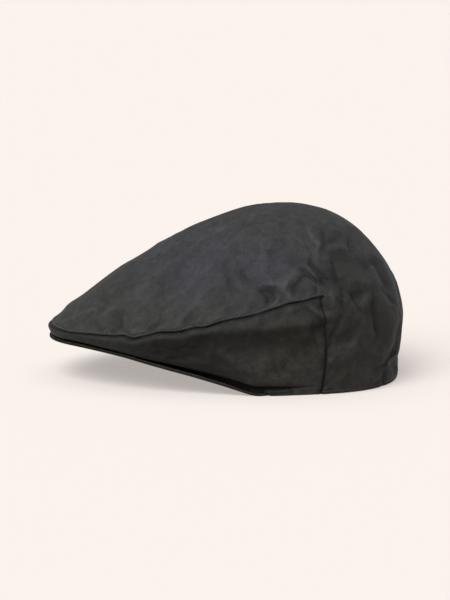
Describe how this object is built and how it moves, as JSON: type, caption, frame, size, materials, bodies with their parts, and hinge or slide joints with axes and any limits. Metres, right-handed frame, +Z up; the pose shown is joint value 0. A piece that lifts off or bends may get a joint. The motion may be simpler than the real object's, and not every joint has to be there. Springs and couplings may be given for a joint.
{
  "type": "flat cap",
  "caption": "Soft flat cap: one-piece crown running down the back, a side panel on each side and a stiff sloping peak under the nose.",
  "frame": {"origin": "middle of the underside of the cap's box, in the plane of the rim it rests on", "axes": "+Y from the peak to the back of the head, +Z up, +X to the wearer's left"},
  "size_m": [0.1918, 0.2664, 0.1289],
  "materials": {
    "crown_cloth": "waxed cotton, soft sheen",
    "side_cloth": "waxed cotton, soft sheen",
    "peak_cloth": "waxed cotton over a stiff board"
  },
  "bodies": {
    "root": {"crown": "crown_cloth", "side_panel_left": "side_cloth", "side_panel_right": "side_cloth", "peak": "peak_cloth"}
  },
  "joints": []
}
